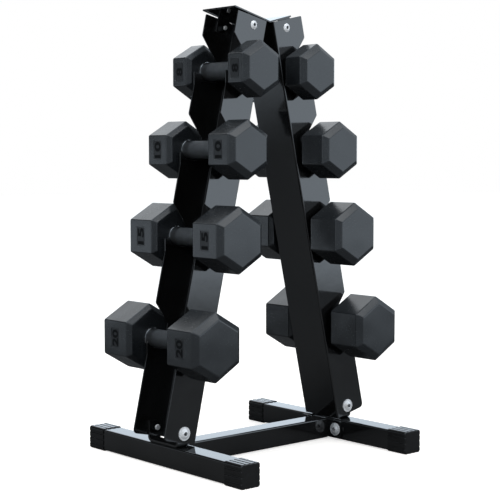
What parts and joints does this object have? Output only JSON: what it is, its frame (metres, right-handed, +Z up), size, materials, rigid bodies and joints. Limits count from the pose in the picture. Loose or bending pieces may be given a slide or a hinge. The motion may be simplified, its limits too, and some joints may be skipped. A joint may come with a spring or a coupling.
{
  "type": "dumbbell rack",
  "caption": "A-frame rack of leaning, notched steel channels on tube feet, holding rubber-coated hexagonal dumbbells that lift out of its cradles.",
  "frame": {"origin": "on the floor under the middle of the rack", "axes": "+Z up, +X from the left foot to the right foot, -Y towards the front"},
  "size_m": [0.4888, 0.4276, 0.7976],
  "materials": {
    "upright_paint": "gloss",
    "plate_paint": "gloss",
    "base_paint": "gloss",
    "cap_rubber": "matt",
    "bolt_zinc": "polished",
    "washer_zinc": "satin",
    "nut_zinc": "satin",
    "handle_steel": "satin",
    "head_rubber": "satin",
    "core_iron": "rough"
  },
  "bodies": {
    "rack": {"left_upright": "upright_paint", "right_upright": "upright_paint", "left_foot": "base_paint", "right_foot": "base_paint", "cross_tube": "base_paint", "left_end_plate": "base_paint", "right_end_plate": "base_paint", "left_foot_bracket": "base_paint", "right_foot_bracket": "base_paint", "top_plate": "plate_paint", "front_left_cap": "cap_rubber", "rear_left_cap": "cap_rubber", "front_right_cap": "cap_rubber", "rear_right_cap": "cap_rubber", "upright_bolts": "bolt_zinc", "upright_washers": "washer_zinc", "upright_nuts": "nut_zinc", "top_bolts": "bolt_zinc", "top_nuts": "nut_zinc", "cross_bolts": "bolt_zinc", "cross_washers": "washer_zinc", "cross_nuts": "nut_zinc"},
    "left_top_dumbbell": {"left_top_handle": "handle_steel", "left_top_front_head": "head_rubber", "left_top_rear_head": "head_rubber", "left_top_cores": "core_iron"},
    "left_upper_dumbbell": {"left_upper_handle": "handle_steel", "left_upper_front_head": "head_rubber", "left_upper_rear_head": "head_rubber", "left_upper_cores": "core_iron"},
    "left_lower_dumbbell": {"left_lower_handle": "handle_steel", "left_lower_front_head": "head_rubber", "left_lower_rear_head": "head_rubber", "left_lower_cores": "core_iron"},
    "left_bottom_dumbbell": {"left_bottom_handle": "handle_steel", "left_bottom_front_head": "head_rubber", "left_bottom_rear_head": "head_rubber", "left_bottom_cores": "core_iron"},
    "right_top_dumbbell": {"right_top_handle": "handle_steel", "right_top_front_head": "head_rubber", "right_top_rear_head": "head_rubber", "right_top_cores": "core_iron"},
    "right_upper_dumbbell": {"right_upper_handle": "handle_steel", "right_upper_front_head": "head_rubber", "right_upper_rear_head": "head_rubber", "right_upper_cores": "core_iron"},
    "right_lower_dumbbell": {"right_lower_handle": "handle_steel", "right_lower_front_head": "head_rubber", "right_lower_rear_head": "head_rubber", "right_lower_cores": "core_iron"},
    "right_bottom_dumbbell": {"right_bottom_handle": "handle_steel", "right_bottom_front_head": "head_rubber", "right_bottom_rear_head": "head_rubber", "right_bottom_cores": "core_iron"}
  },
  "joints": [
    {"name": "left_top_lift", "type": "slide", "parent": "rack", "child": "left_top_dumbbell", "axis": [-0.5621, 0, 0.8271], "range_m": [0, 0.12]},
    {"name": "left_upper_lift", "type": "slide", "parent": "rack", "child": "left_upper_dumbbell", "axis": [-0.5621, 0, 0.8271], "range_m": [0, 0.12]},
    {"name": "left_lower_lift", "type": "slide", "parent": "rack", "child": "left_lower_dumbbell", "axis": [-0.5621, 0, 0.8271], "range_m": [0, 0.12]},
    {"name": "left_bottom_lift", "type": "slide", "parent": "rack", "child": "left_bottom_dumbbell", "axis": [-0.5621, 0, 0.8271], "range_m": [0, 0.12]},
    {"name": "right_top_lift", "type": "slide", "parent": "rack", "child": "right_top_dumbbell", "axis": [0.5621, 0, 0.8271], "range_m": [0, 0.12]},
    {"name": "right_upper_lift", "type": "slide", "parent": "rack", "child": "right_upper_dumbbell", "axis": [0.5621, 0, 0.8271], "range_m": [0, 0.12]},
    {"name": "right_lower_lift", "type": "slide", "parent": "rack", "child": "right_lower_dumbbell", "axis": [0.5621, 0, 0.8271], "range_m": [0, 0.12]},
    {"name": "right_bottom_lift", "type": "slide", "parent": "rack", "child": "right_bottom_dumbbell", "axis": [0.5621, 0, 0.8271], "range_m": [0, 0.12]}
  ]
}
